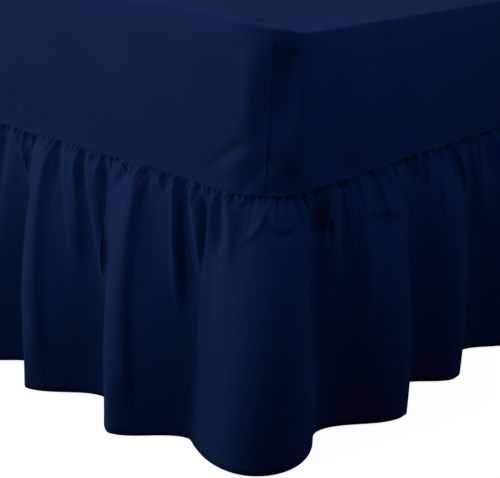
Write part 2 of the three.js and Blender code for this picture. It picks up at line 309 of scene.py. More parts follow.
# Hollow beside each corner seam, in distances from the corner and heights above the frill's seam:
# where its depth comes and goes, its foot, the two steps of its brow with their shares, the bulge
# on its short side, and the one below it on its long side with the heights where that begins
HOLLOW_DEPTH = 10
HOLLOW_FALLS = (-40, 18)
HOLLOW_RETURNS = (20, 46)
HOLLOW_FOOT = (62, 134)
HOLLOW_BROWS = [{"share": 0.45, "between": (201, 216)}, {"share": 0.55, "between": (172, 212)}]
BULGE_HEIGHT = 7
BULGE_PLACE = -33
BULGE_WIDTH = 22
FOOT_BULGE_HEIGHT = 3
FOOT_BULGE_PLACE = 24
FOOT_BULGE_WIDTH = 20
FOOT_BULGE_BEGINS = (8, 44)

# Corner seam: its place, the step down from the short side's cloth, the raised lip at its edge,
# fainter in the hollow, the puckers that run out from it, and where all of these begin
SEAM_PLACE = -5
SEAM_STEP_HEIGHT = 1.1
SEAM_STEP_EDGE = (-0.4, 1.4)
SEAM_STEP_REACH = 14
LIP_HEIGHT = 0.7
LIP_WIDTH = 1.6
HOLLOW_LIP = 0.2
LIP_CHANGES = (100, 140)
PUCKER_HEIGHT = 0.8
PUCKER_REACH = 8
SEAM_RELIEF_BEGINS = (2, 14)

# How far the seam wavers from level, and the walls from flat, with the walls' waves slanting
SEAM_WAVES = [{"height": 1.3, "length": 95}, {"height": 1.2, "length": 420}]
WALL_WAVES = [{"height": 0.6, "length": 230}]
WALL_WAVE_SLANT = 0.4

# Slack of the top, in two wavelengths, and its least height, which stays above the mattress
SLACK_WAVES = [{"height": 1.6, "length": 330}, {"height": 0.8, "length": 120}]
SLACK_PLACE = 30
SLACK_WIDTH = 90
SLACK_GROWS = (0, 40)
SLACK_BEGINS = 170
LEAST_SLACK = 1


def bell(x, width):
    """Smooth bump: 1 at x = 0, fading to nothing about two widths away."""
    return np.exp(-(x / width) ** 2)


def ease(x, low, high):
    """Smooth step from 0 at low to 1 at high."""
    t = np.clip((x - low) / (high - low), 0, 1)
    return t * t * (3 - 2 * t)


def mix(a, b, t):
    """Straight blend from a to b."""
    return a + (b - a) * t


def outline(s, out=0, inset=0, radius=CORNER_RADIUS):
    """Plan points round the bed: a centre that moves along a smaller rectangle, plus a radius in
    the direction that turns by a right angle at each corner, plus out in that direction."""
    s = np.mod(s, ROUND)
    angle = np.interp(s, RUN_ENDS, RUN_ANGLES)
    side_x = np.interp(s, RUN_ENDS, RUN_SIDE_X)
    side_y = np.interp(s, RUN_ENDS, RUN_SIDE_Y)
    x = CENTRE[0] + side_x * (HALF[0] - inset - radius) + (radius + out) * np.cos(angle)
    y = CENTRE[1] + side_y * (HALF[1] - inset - radius) + (radius + out) * np.sin(angle)
    return x, y


def wavering(s, wavelength, seed):
    """Line that wavers between about -1 and 1 and closes on itself round the bed: the sum of six
    sine waves near the given wavelength, with seeded counts and phases."""
    rng = np.random.default_rng(seed)
    counts = np.round(ROUND / wavelength * rng.uniform(0.6, 1.7, 6))
    phases = rng.uniform(0, 2 * np.pi, 6)
    return sum(np.sin(2 * np.pi * n * s / ROUND + p) for n, p in zip(counts, phases)) / 3.4


def waves(table, s, seed):
    """Sum of a table's wavering lines."""
    return sum(row["height"] * wavering(s, row["length"], seed + i) for i, row in enumerate(table))


def seam_wave(s):
    """How far the seam rises and falls from level."""
    return waves(SEAM_WAVES, s, 3)


def all_folds():
    """Every main fold round the bed as four arrays, top, hem, out and run: the drawn ones, then
    evenly spaced ones up to where those began, which sine waves of unlike steps make uneven."""
    first, last = CORNER_FOLDS[0], CORNER_FOLDS[-1]
    span = first["hem"] + ROUND - last["hem"]
    halves = int(2 * np.floor(span / FOLD_PITCH) + 1)
    i = np.arange(1, halves)
    hem = last["hem"] + span * i / halves + PITCH_WANDER * np.sin(2.4 * i + 0.7)
    top = hem + 0.6 * PITCH_WANDER * np.sin(3.7 * i)
    out = np.where(i % 2 == 1, CREST_OUT, VALLEY_OUT) + OUT_WANDER * np.sin(1.9 * i + 1.1)
    run = np.full(halves - 1, OTHER_RUN)
    drawn = [[fold[key] for fold in CORNER_FOLDS] for key in ("top", "hem", "out", "run")]
    return [np.append(a, b) for a, b in zip(drawn, (top, hem, out, run))]


def frill_columns(hem):
    """Places of the frill's columns, as fold number plus share of the way to the next fold: an
    even number of steps in each half fold, shorter near the listed creases."""
    ends = np.append(hem, hem[0] + ROUND)
    columns = []
    for i, (start, end) in enumerate(zip(ends[:-1], ends[1:])):
        drawn = start < DRAWN_TO or end > DRAWN_FROM + ROUND
        step = DRAWN_STEP if drawn else OTHER_STEP
        steps = 2 * int(round((end - start) / step / 2))
        columns.append(i + np.arange(steps) / steps)
    return np.concatenate(columns)


def main_folds(columns, share):
    """Place along the seam and reach of the main folds, at each column and share of the drop.
    A fold's reach swings out from the seam as 1 - (1 - share) ** swing, its place moves from top
    to hem in the same way, and half a cosine joins each crest to the next valley, drawn towards
    a straight flank higher up."""
    top, hem, out, run = all_folds()
    this = columns.astype(int)
    following = (this + 1) % len(top)
    along = columns - this
    moved = 1 - (1 - share) ** SIDE_SWING
    start = mix(top[this], hem[this], moved)
    end = mix(top[following], hem[following], moved) + np.where(following == 0, ROUND, 0)
    swing = np.where(out > (CREST_OUT + VALLEY_OUT) / 2, CREST_SWING, VALLEY_SWING)
    near = out[this] * (1 - (1 - share) ** swing[this])
    far = out[following] * (1 - (1 - share) ** swing[following])
    crossed = np.clip((along - 0.5) / run[this] + 0.5, 0, 1)
    straight = STRAIGHTNESS * (1 - STRAIGHTNESS_LOST * share)
    swept = mix(0.5 - 0.5 * np.cos(np.pi * crossed), crossed, straight)
    return mix(start, end, along), mix(near, far, swept)


def gathers(s, down, tier, seed):
    """Row of uneven pleats side by side, each half a sine wave across less its mean, with its own
    width, height and length: it swells about the start of its tier and fades over its length."""
    rng = np.random.default_rng(seed)
    count = int(round(ROUND / tier["pitch"]))
    widths = rng.uniform(1 - PLEAT_UNEVENNESS, 1 + PLEAT_UNEVENNESS, count)
    ends = np.append(0, np.cumsum(widths)) * ROUND / widths.sum()
    heights = tier["height"] * rng.uniform(*PLEAT_HEIGHTS, count)
    lengths = mix(tier["short"], tier["long"], rng.uniform(0, 1, count) ** 2)
    slanted = np.mod(s + PLEAT_SLANT * down * wavering(s, 9 * tier["pitch"], seed + 1), ROUND)
    pleat = np.clip(np.searchsorted(ends, slanted, side="right") - 1, 0, count - 1)
    across = (slanted - ends[pleat]) / (ends[pleat + 1] - ends[pleat])
    swell = ease(down, tier["start"] * 0.4 - 4, tier["start"] + 6)
    fade = 1 / (1 + (down / lengths[pleat]) ** 3)
    nearest = s - ROUND * np.round(s / ROUND)
    begun = ease(nearest, DRAWN_FROM - CHANGE_OUTSIDE, DRAWN_FROM + CHANGE_INSIDE)
    ended = ease(nearest, DRAWN_TO - CHANGE_INSIDE, DRAWN_TO + CHANGE_OUTSIDE)
    weight = mix(1, tier["drawn"], begun * (1 - ended))
    return weight * heights[pleat] * swell * fade * (np.sin(np.pi * across) - PLEAT_MEAN)


def creases(table, u, v):
    """Sum of a table's creases, each a smooth bump across a line that bows to its right. Along is
    the share of the way down the line, and aside the distance to the right of it, where right is
    towards more u for a line on which v grows."""
    total = np.zeros(np.broadcast(u, v).shape)
    for row in table:
        (u1, v1), (u2, v2) = row["start"], row["end"]
        run_u, run_v = u2 - u1, v2 - v1
        length = np.hypot(run_u, run_v)
        along = ((u - u1) * run_u + (v - v1) * run_v) / length ** 2
        aside = ((u - u1) * run_v - (v - v1) * run_u) / length
        aside = aside - row["bow"] * 4 * along * (1 - along)
        width = np.where(aside < 0, row["width"] * row["left"], row["width"])
        beyond = np.maximum(along - row["fade"], 0) / (1 - row["fade"])
        before = np.maximum(CREASE_HEAD - along, 0) / CREASE_HEAD
        ends = bell(beyond, CREASE_TAIL_FADE) * bell(before, CREASE_HEAD_FADE)
        total += row["height"] * bell(aside, width) * ends
    return total


def plan_normals(x, y):
    """Level outward directions of closed rings of points, one ring a row."""
    along_x = np.roll(x, -1, axis=1) - np.roll(x, 1, axis=1)
    along_y = np.roll(y, -1, axis=1) - np.roll(y, 1, axis=1)
    length = np.hypot(along_x, along_y)
    return along_y / length, -along_x / length


def frill_surface():
    """Grid of the frill. Rows run down from the seam, closer together at the top, and columns run
    round the bed. Main folds give the plan curve of each row, and creases and gathers stand out
    square to it, held back by a hyperbolic tangent where they reach in. The last rows turn the
    hem under and up inside."""
    columns = frill_columns(all_folds()[1])
    row = np.linspace(0, 1, FRILL_ROWS + 1)[:, None]
    share = FIRST_ROW * row + (1 - FIRST_ROW) * row ** 2
    down = share * FRILL_DROP
    s, reach = main_folds(columns, share)
    x, y = outline(s, reach - HEAD_TUCK * np.exp(-down / TUCK_DROP))
    nx, ny = plan_normals(x, y)
    nearest = s - ROUND * np.round(s / ROUND)
    relief = creases(FRILL_CREASES, nearest, down)
    for number, tier in enumerate(GATHER_TIERS):
        relief = relief + gathers(s, down, tier, 20 + 2 * number)
    face = waves(FACE_WAVES, s + FACE_WAVE_SLANT * down, 31)
    relief = relief + face * ease(down, *FACE_WAVES_BEGIN)
    pinch = HEAD_PINCH * (1 + PINCH_UNEVENNESS * wavering(s, PINCH_PITCH, 61))
    pinch = pinch * ease(down, *PINCH_GROWS) * (1 - ease(down, *PINCH_FADES))
    relief = relief * mix(HEAD_RELIEF, 1, ease(down, 0, TUCK_DROP)) - pinch
    room = reach + mix(HEAD_LIMIT, TROUGH_LIMIT, ease(down, *LIMIT_CHANGES))
    relief = np.where(relief < 0, room * np.tanh(relief / room), relief)
    x, y = x + nx * relief, y + ny * relief
    z = HEM_Z + (FRILL_DROP + seam_wave(s)) * (1 - share)
    nx, ny = plan_normals(x[-1:], y[-1:])
    turned = np.array(HEM_TURN)
    inward, up = turned[:, :1], turned[:, 1:]
    x = np.vstack([x, x[-1] - nx * inward])
    y = np.vstack([y, y[-1] - ny * inward])
    z = np.vstack([z, z[-1] + up])
    down = np.vstack([down + 0 * s, FRILL_DROP - up + 0 * s[-1]])
    s = np.vstack([s, s[-1] + 0 * up])
    return x, y, z, s, down


def from_corner(s):
    """Distance along the seam from the nearest corner, less than 0 on the short sides, and that
    corner's number."""
    place = np.mod(s, ROUND)
    corner = np.abs(place[:, None] - CORNERS).argmin(axis=1)
    offset = place - CORNERS[corner]
    corner = corner % 4
    return np.where(corner % 2 == 1, -offset, offset), corner


def panel_columns():
    """Places of the panel's columns along the seam: close together at the sewn corners and
    further apart along the sides, found by adding up how many fit in each millimetre."""
    fine = np.linspace(0, ROUND, 12001)
    c = np.abs(from_corner(fine)[0])
    density = mix(1 / SIDE_COLUMN, 1 / CORNER_COLUMN, 1 - ease(c, *COLUMNS_NARROW))
    at_seam = bell(c - abs(SEAM_PLACE), SEAM_COLUMNS_WIDTH)
    density = density + (1 / SEAM_COLUMN - 1 / CORNER_COLUMN) * at_seam
    total = np.append(0, np.cumsum((density[1:] + density[:-1]) / 2 * np.diff(fine)))
    ends = np.interp(CORNERS, fine, total)
    counts = np.round(np.diff(ends)).astype(int)
    sides = [np.linspace(a, b, n, endpoint=False) for a, b, n in zip(ends[:-1], ends[1:], counts)]
    return np.interp(np.concatenate(sides), total, fine)


def panel_surface():
    """Grid of the top and walls. Rows run from inside the lower edge, round it, up the wall, over
    the rolled edge and in to the middle line of the top; columns run round the bed. The wall
    leans in along a parabola, the roll goes on from its slope along an ellipse, and what stands
    out of the wall dies away over the roll as a squared cosine."""
    s = panel_columns()
    c, corner = from_corner(s)
    rim = mix(EAR_HEIGHT, RIM_HEIGHT, ease(-c, *RIM_CLIMBS)) * (1 - RIM_SUNK * ease(-c, *RIM_SINKS))
    long_rim = LONG_RIM_HEIGHT + (EAR_HEIGHT - LONG_RIM_HEIGHT) * bell(c, EAR_WIDTH)
    lift = np.where(c < 0, rim, long_rim)
    away = 1 - bell(c, EDGE_BEGINS)
    lean = away * np.where(c < 0, SHORT_EDGE["lean"], LONG_EDGE["lean"])
    roll_in = EAR_ROLL + away * np.where(c < 0, SHORT_EDGE["roll_in"], LONG_EDGE["roll_in"])
    roll_up = EAR_ROLL + away * np.where(c < 0, SHORT_EDGE["roll_up"], LONG_EDGE["roll_up"])
    begin = np.arctan(2 * lean / LEAN_DROP * roll_up / roll_in)
    wave = seam_wave(s)

    turn = np.array(EDGE_TURN)
    turn_out = turn[:, :1] + 0 * s
    turn_z = SEAM_Z + turn[:, 1:] + wave

    share = np.linspace(0, 1, WALL_ROWS)[:, None]
    h = WALL_FOOT + share * (WALL_HEIGHT - roll_up * (1 - np.sin(begin)) - WALL_FOOT)
    t = h / WALL_HEIGHT
    swell = SIDE_SWELL * np.sin(np.pi * t) * (1 - bell(c, SWELL_BEGINS))
    wall_out = FOOT_OUT * np.exp(-(h - WALL_FOOT) / FOOT_RISE) + swell
    wall_out = wall_out - lean * (np.maximum(h - WALL_HEIGHT + LEAN_DROP, 0) / LEAN_DROP) ** 2
    wall_out = wall_out + EAR_REACH * bell(c, EAR_WIDTH) * t ** 2
    creased = creases(WALL_CREASES, c, h) * mix(OTHER_CREASES, 1, bell(corner, 0.5))
    wall_out = wall_out - hollow(c, h) + creased
    wall_out = wall_out + seam_pucker(c, h) + waves(WALL_WAVES, s + WALL_WAVE_SLANT * h, 41)
    wall_z = SEAM_Z + h + wave * (1 - t) + lift * ease(h, LIFT_BEGINS, WALL_HEIGHT)

    angle = mix(begin, np.pi / 2, np.linspace(0, 1, ROLL_ROWS + 1)[1:, None])
    settling = (np.cos(angle) / np.cos(begin)) ** 2
    roll_out = (wall_out[-1:] + lean) * settling - lean - roll_in * (np.cos(begin) - np.cos(angle))
    roll_z = TOP_Z + lift - roll_up * (1 - np.sin(angle)) + wave * (1 - t[-1:]) * np.cos(angle)

    edge = lean + roll_in * np.cos(begin)
    inset = edge + (HALF[0] - edge) * (np.linspace(0, 1, TOP_ROWS + 1)[1:, None]) ** TOP_SPREAD
    radius = np.minimum(np.maximum(CORNER_RADIUS - inset, INNER_RADIUS), HALF[0] - inset)
    x, y = outline(s, np.vstack([turn_out, wall_out, roll_out]))
    top_x, top_y = outline(s, 0, inset, radius)
    top_z = TOP_Z + lift * bell(inset - edge, LIFT_REACH) + top_waves(s, c, inset - edge)

    x, y = np.vstack([x, top_x]), np.vstack([y, top_y])
    z = np.vstack([turn_z, wall_z, roll_z, top_z])
    return x, y, z, s, len(turn) + len(share) + len(angle) - 1


def hollow(c, h):
    """Depth of the hollow under each ear, from a sharp upper edge below the ear to about the
    wall's middle: the short side's cloth stands out, falls in across the seam and comes back
    beyond it, and below the hollow the long side's stands out a little."""
    across = HOLLOW_DEPTH * ease(c, *HOLLOW_FALLS) * (1 - ease(c, *HOLLOW_RETURNS))
    across = across - BULGE_HEIGHT * bell(c - BULGE_PLACE, BULGE_WIDTH)
    upright = 1 - sum(brow["share"] * ease(h, *brow["between"]) for brow in HOLLOW_BROWS)
    begun = ease(h, *HOLLOW_FOOT)
    foot_bulge = FOOT_BULGE_HEIGHT * bell(c - FOOT_BULGE_PLACE, FOOT_BULGE_WIDTH)
    return across * upright * begun - foot_bulge * ease(h, *FOOT_BULGE_BEGINS) * (1 - begun)


def seam_pucker(c, h):
    """Sewn corner seam: the short side's cloth folds over the long side's in a small step with a
    raised lip, and puckers, a sine wave up the wall whose pitch varies, fade out on both sides."""
    aside = c - SEAM_PLACE
    step = SEAM_STEP_HEIGHT * (1 - ease(aside, *SEAM_STEP_EDGE))
    step = step * np.exp(np.minimum(aside, 0) / SEAM_STEP_REACH)
    lip = LIP_HEIGHT * bell(aside + LIP_WIDTH, LIP_WIDTH)
    lip = lip * mix(1, HOLLOW_LIP, ease(h, *LIP_CHANGES))
    pucker = PUCKER_HEIGHT * np.sin(h / 1.9 + 1.4 * np.sin(h / 17))
    pucker = pucker * np.exp(-np.abs(aside) / PUCKER_REACH)
    return (step + lip + pucker) * ease(h, *SEAM_RELIEF_BEGINS)


def top_waves(s, c, inside):
    """Slack of the top: low waves along the edge, gone at the corners and by the middle, and cut
    off where the cloth would meet the mattress."""
    across = bell(inside - SLACK_PLACE, SLACK_WIDTH) * ease(inside, *SLACK_GROWS)
    slack = waves(SLACK_WAVES, s, 51) * across * (1 - bell(c, SLACK_BEGINS))
    return np.maximum(slack, -LEAST_SLACK)


def grid_faces(index):
    """Faces of a grid of vertex numbers that closes on itself along its rows."""
    right = np.roll(index, -1, axis=1)
    quads = np.stack([index[:-1], index[1:], right[1:], right[:-1]], axis=-1)
    return quads.reshape(-1, 4)


def halving_faces(upper, lower):
    """Faces between a ring and the next one down, which has half as many points."""
    left, middle = upper[::2], upper[1::2]
    faces = [left, lower, np.roll(lower, -1), np.roll(left, -1), middle]
    return np.stack(faces, axis=-1)


def make_piece(name, points, faces, material):
    """Smooth mesh object at the origin from points in millimetres."""
    mesh = bpy.data.meshes.new(name)
    mesh.from_pydata((points * MM).tolist(), [], faces)
    mesh.validate()
    mesh.shade_smooth()
    mesh.materials.append(material)
    piece = bpy.data.objects.new(name, mesh)
    bpy.context.scene.collection.objects.link(piece)
    return piece


def lay_map(piece, u, v, flat_u=None, flat_v=None, flat_from=None):
    """UV map in millimetres of cloth, from a value for each vertex. Where a face closes the ring,
    its first column's places are taken a whole round further on. Faces whose vertices all have
    numbers from flat_from up take the flat values."""
    mesh = piece.data
    vertex = np.zeros(len(mesh.loops), int)
    mesh.loops.foreach_get("vertex_index", vertex)
    starts = np.zeros(len(mesh.polygons), int)
    mesh.polygons.foreach_get("loop_start", starts)
    sizes = np.diff(np.append(starts, len(vertex)))
    loop_u, loop_v = u[vertex], v[vertex]
    furthest = np.repeat(np.maximum.reduceat(loop_u, starts), sizes)
    loop_u = np.where(furthest - loop_u > ROUND / 2, loop_u + ROUND, loop_u)
    if flat_from is not None:
        flat = np.repeat(np.minimum.reduceat(vertex, starts) >= flat_from, sizes)
        loop_u = np.where(flat, flat_u[vertex], loop_u)
        loop_v = np.where(flat, flat_v[vertex], loop_v)
    uv = np.stack([loop_u, loop_v], axis=-1)
    mesh.uv_layers.new(name="cloth").data.foreach_set("uv", uv.ravel())


def make_frill(material):
    """The frill: fine columns near the seam, and every second one below its gathers."""
    x, y, z, s, down = frill_surface()
    count = x.shape[1]
    fine = np.arange((FINE_ROWS + 1) * count).reshape(-1, count)
    coarse_rows = len(x) - FINE_ROWS - 1
    coarse = fine.size + np.arange(coarse_rows * count // 2).reshape(coarse_rows, -1)

    def flat(grid):
        return np.append(grid[: FINE_ROWS + 1].ravel(), grid[FINE_ROWS + 1 :, ::2].ravel())

    points = np.stack([flat(x), flat(y), flat(z)], axis=-1)
    faces = grid_faces(fine).tolist() + halving_faces(fine[-1], coarse[0]).tolist()
    faces += grid_faces(coarse).tolist()
    piece = make_piece("navy_frill", points, faces, material)
    lay_map(piece, flat(s), flat(down))
    return piece


def make_panel(material):
    """The fitted top and walls, closed along the middle line of the top."""
    x, y, z, s, top_row = panel_surface()
    index = np.arange(x.size).reshape(x.shape)
    points = np.stack([x.ravel(), y.ravel(), z.ravel()], axis=-1)
    piece = make_piece("navy_panel", points, grid_faces(index[::-1]).tolist(), material)
    rise = np.hypot(np.diff(z, axis=0), np.hypot(np.diff(x, axis=0), np.diff(y, axis=0)))
    climbed = np.vstack([0 * s, np.cumsum(rise, axis=0)])
    flat_from = top_row * len(s)
    lay_map(piece, (s + 0 * x).ravel(), climbed.ravel(), x.ravel(), y.ravel(), flat_from)
    joined = bmesh.new()
    joined.from_mesh(piece.data)
    joined.verts.ensure_lookup_table()
    bmesh.ops.remove_doubles(joined, verts=joined.verts[-len(s) :], dist=MERGE_DISTANCE * MM)
    joined.to_mesh(piece.data)
    joined.free()
    return piece


def add(tree, kind, sockets=None, **settings):
    """New shader node with its settings. Each named or numbered input takes a value, or is joined
    to another node's output."""
    made = tree.nodes.new("ShaderNode" + kind)
    for name, value in settings.items():
        setattr(made, name, value)
    for name, value in (sockets or {}).items():
        if isinstance(value, bpy.types.NodeSocket):
            tree.links.new(value, made.inputs[name])
        else:
            made.inputs[name].default_value = value
    return made


def maths(tree, operation, *values):
    """Result of a Math node."""
    return add(tree, "Math", dict(enumerate(values)), operation=operation).outputs[0]


def blended(tree, share, colour_a, colour_b):
    """Colour between two others."""
    sockets = {0: share, 6: colour_a, 7: colour_b}
    return add(tree, "Mix", sockets, data_type="RGBA").outputs[2]


def new_group(name, inputs, outputs):
    """Empty shader node group, with its first and last nodes."""
    tree = bpy.data.node_groups.new(name, "ShaderNodeTree")
    for label, kind in inputs.items():
        tree.interface.new_socket(label, in_out="INPUT", socket_type="NodeSocket" + kind)
    for label in outputs:
        tree.interface.new_socket(label, in_out="OUTPUT", socket_type="NodeSocketFloat")
    return tree, tree.nodes.new("NodeGroupInput").outputs, tree.nodes.new("NodeGroupOutput").inputs


def make_weave_group():
    """Plain weave on a map in millimetres. Thread is the height, a sine wave across times one
    along at the pitch of the yarn, and Slub is uneven yarn: noise drawn out along each of the
    two thread directions."""
    inputs = {"Cloth": "Vector", "Pitch": "Float", "Slub Length": "Float"}
    tree, given, result = new_group("plain_weave", inputs, ("Thread", "Slub"))
    turns = maths(tree, "DIVIDE", 2 * np.pi, given["Pitch"])
    place = add(tree, "SeparateXYZ", {0: given["Cloth"]}).outputs
    across = maths(tree, "SINE", maths(tree, "MULTIPLY", place[0], turns))
    along = maths(tree, "SINE", maths(tree, "MULTIPLY", place[1], turns))
    crossing = maths(tree, "MULTIPLY", across, along)
    tree.links.new(maths(tree, "MULTIPLY_ADD", crossing, 0.5, 0.5), result["Thread"])
    short = maths(tree, "DIVIDE", 0.6, given["Pitch"])
    long = maths(tree, "DIVIDE", 1, given["Slub Length"])
    streaks = []
    for scales in ((short, long, 1), (long, short, 1)):
        scale = add(tree, "CombineXYZ", dict(enumerate(scales))).outputs[0]
        stretched = add(tree, "VectorMath", {0: given["Cloth"], 1: scale}, operation="MULTIPLY")
        sockets = {"Vector": stretched.outputs[0], "Scale": 1, "Detail": 2}
        streaks.append(add(tree, "TexNoise", sockets).outputs[0])
    tree.links.new(maths(tree, "MULTIPLY", maths(tree, "ADD", *streaks), 0.5), result["Slub"])
    return tree


def make_crinkle_group():
    """Soft crinkles that handling leaves in cloth, from places in metres: Height is noise at the
    given size in millimetres, and Tone is smoother noise eleven times as large."""
    inputs = {"Place": "Vector", "Size": "Float"}
    tree, given, result = new_group("soft_crinkle", inputs, ("Height", "Tone"))
    scale = maths(tree, "DIVIDE", 1000, given["Size"])
    sockets = {"Vector": given["Place"], "Scale": scale, "Detail": 3, "Roughness": 0.45}
    fine = add(tree, "TexNoise", sockets)
    broad_scale = maths(tree, "DIVIDE", scale, 11)
    broad = add(tree, "TexNoise", {"Vector": given["Place"], "Scale": broad_scale, "Detail": 2})
    tree.links.new(fine.outputs[0], result["Height"])
    tree.links.new(broad.outputs[0], result["Tone"])
    return tree


def make_stitch_group():
    """Row of machine stitches: Stitch is 1 on the thread and Pull is the furrow it draws in the
    cloth, from the way along the row and the distance aside from it, in millimetres."""
    inputs = {"Along": "Float", "Aside": "Float", "Length": "Float"}
    tree, given, result = new_group("stitch_row", inputs, ("Stitch", "Pull"))
    share = maths(tree, "FRACT", maths(tree, "DIVIDE", given["Along"], given["Length"]))
    middle = maths(tree, "ABSOLUTE", maths(tree, "SUBTRACT", share, 0.5))
    aside = maths(tree, "ABSOLUTE", given["Aside"])
    ends = {"Value": middle, "From Min": 0.42, "From Max": 0.34}
    lengthways = add(tree, "MapRange", ends, interpolation_type="SMOOTHSTEP").outputs[0]
    sides = {"Value": aside, "From Min": 0.45, "From Max": 0.2}
    crossways = add(tree, "MapRange", sides, interpolation_type="SMOOTHSTEP").outputs[0]
    furrow = {"Value": aside, "From Min": 2.2, "From Max": 0}
    pull = add(tree, "MapRange", furrow, interpolation_type="SMOOTHSTEP").outputs[0]
    tree.links.new(maths(tree, "MULTIPLY", lengthways, crossways), result["Stitch"])
    tree.links.new(pull, result["Pull"])
    return tree


def make_pucker_group():
    """Small puckers that a gathered seam draws in the cloth: noise that is fine along the seam and
    drawn out across it, fading away from it within the given reach. All are in millimetres."""
    inputs = {"Along": "Float", "Aside": "Float", "Pitch": "Float", "Reach": "Float"}
    tree, given, result = new_group("seam_puckers", inputs, ("Height",))
    finely = maths(tree, "DIVIDE", given["Along"], given["Pitch"])
    drawn_out = maths(tree, "DIVIDE", given["Aside"], maths(tree, "MULTIPLY", given["Pitch"], 3.5))
    place = add(tree, "CombineXYZ", {0: finely, 1: drawn_out}).outputs[0]
    noise = add(tree, "TexNoise", {"Vector": place, "Scale": 1, "Detail": 1}).outputs[0]
    away = maths(tree, "DIVIDE", maths(tree, "ABSOLUTE", given["Aside"]), given["Reach"])
    squared = maths(tree, "MULTIPLY", away, away)
    fade = maths(tree, "EXPONENT", maths(tree, "MULTIPLY", squared, -1))
    height = maths(tree, "SUBTRACT", noise, 0.5)
    tree.links.new(maths(tree, "MULTIPLY", height, fade), result["Height"])
    return tree


weave = make_weave_group()
crinkle = make_crinkle_group()
stitches = make_stitch_group()
puckers = make_pucker_group()


def new_material(name):
    """Material with its node tree and its Principled shader."""
    material = bpy.data.materials.new(name)
    material.use_nodes = True
    return material, material.node_tree, material.node_tree.nodes["Principled BSDF"]


def place_group(tree, group, sockets):
    """Outputs of a node group placed in a material."""
    return add(tree, "Group", sockets, node_tree=group).outputs


# Navy dye in a deeper and a more worn tone, mixed by random tone along the yarn and over broad
# patches, and its paler bloom where light grazes it
NAVY_DEEP = (0.0084, 0.0190, 0.0765, 1)
NAVY_WORN = (0.0110, 0.0248, 0.0950, 1)
NAVY_THREAD = (0.0150, 0.0340, 0.110, 1)
NAVY_BLOOM = (0.20, 0.36, 0.95, 1)
THREAD_PITCH = 0.55
SLUB_LENGTH = 14
HEM_STITCH = 2.8
PUCKER_PITCH = 4.5
CRINKLE_SIZE = 16

# Heights of the cloth's relief
THREAD_RELIEF = 0.03
CRINKLE_RELIEF = 0.5
STITCH_PULL = 0.22
STITCH_RELIEF = 0.15


def navy_cotton(name, stitch_line, seam_line, pucker_reach, pucker_depth):
    """Woven cotton blend dyed navy. The row of stitches and the gathered seam lie where the cloth
    map's second coordinate is the given one."""
    material, tree, shader = new_material(name)
    cloth = add(tree, "UVMap", uv_map="cloth").outputs[0]
    place = add(tree, "TexCoord").outputs["Object"]
    sockets = {"Cloth": cloth, "Pitch": THREAD_PITCH, "Slub Length": SLUB_LENGTH}
    yarn = place_group(tree, weave, sockets)
    crumple = place_group(tree, crinkle, {"Place": place, "Size": CRINKLE_SIZE})
    across = add(tree, "SeparateXYZ", {0: cloth}).outputs
    aside = maths(tree, "SUBTRACT", across[1], stitch_line)
    sewn = place_group(tree, stitches, {"Along": across[0], "Aside": aside, "Length": HEM_STITCH})
    colour_share = maths(tree, "MULTIPLY", yarn["Slub"], 0.3)
    colour_share = maths(tree, "MULTIPLY_ADD", crumple["Tone"], 0.7, colour_share)
    dyed = blended(tree, colour_share, NAVY_DEEP, NAVY_WORN)
    tree.links.new(blended(tree, sewn["Stitch"], dyed, NAVY_THREAD), shader.inputs["Base Color"])
    rough = maths(tree, "MULTIPLY_ADD", yarn["Slub"], 0.14, 0.76)
    tree.links.new(rough, shader.inputs["Roughness"])
    shader.inputs["Specular IOR Level"].default_value = 0.02
    shader.inputs["Sheen Weight"].default_value = 0.01
    shader.inputs["Sheen Roughness"].default_value = 0.45
    shader.inputs["Sheen Tint"].default_value = NAVY_BLOOM
    woven = maths(tree, "MULTIPLY", yarn["Thread"], THREAD_RELIEF)
    creased = maths(tree, "MULTIPLY_ADD", crumple["Height"], CRINKLE_RELIEF, woven)
    pulled = maths(tree, "MULTIPLY_ADD", sewn["Pull"], -STITCH_PULL, creased)
    stitched = maths(tree, "MULTIPLY_ADD", sewn["Stitch"], STITCH_RELIEF, pulled)
    from_seam = maths(tree, "SUBTRACT", across[1], seam_line)
    sockets = {"Along": across[0], "Aside": from_seam, "Pitch": PUCKER_PITCH, "Reach": pucker_reach}
    gathered = place_group(tree, puckers, sockets)["Height"]
    height = maths(tree, "MULTIPLY_ADD", gathered, pucker_depth, stitched)
    bump = add(tree, "Bump", {"Strength": 1, "Distance": MM, "Height": height})
    tree.links.new(bump.outputs[0], shader.inputs["Normal"])
    return material


def bed_cloth(name, pale, dark, pitch, roughness):
    """Plain woven cover of the mattress or the bed base, on coordinates in millimetres that run
    level and upright."""
    material, tree, shader = new_material(name)
    place = add(tree, "TexCoord").outputs["Object"]
    axes = add(tree, "SeparateXYZ", {0: place}).outputs
    level = maths(tree, "MULTIPLY", maths(tree, "ADD", axes[0], axes[1]), 1000)
    upright = maths(tree, "MULTIPLY", maths(tree, "SUBTRACT", axes[2], axes[1]), 1000)
    cloth = add(tree, "CombineXYZ", {0: level, 1: upright}).outputs[0]
    yarn = place_group(tree, weave, {"Cloth": cloth, "Pitch": pitch, "Slub Length": 30})
    crumple = place_group(tree, crinkle, {"Place": place, "Size": 22})
    # Colour from dark to pale: broad random tone, plus painted shade in the hollows between
    # threads, darker where the weave's thread height is low
    colour_share = maths(tree, "MULTIPLY", crumple["Tone"], 0.65)
    colour_share = maths(tree, "MULTIPLY_ADD", yarn["Thread"], 0.35, colour_share)
    tree.links.new(blended(tree, colour_share, dark, pale), shader.inputs["Base Color"])
    shader.inputs["Roughness"].default_value = roughness
    shader.inputs["Specular IOR Level"].default_value = 0.2
    woven = maths(tree, "MULTIPLY", yarn["Thread"], 0.15)
    height = maths(tree, "MULTIPLY_ADD", crumple["Height"], 0.4, woven)
    bump = add(tree, "Bump", {"Strength": 1, "Distance": MM, "Height": height})
    tree.links.new(bump.outputs[0], shader.inputs["Normal"])
    return material


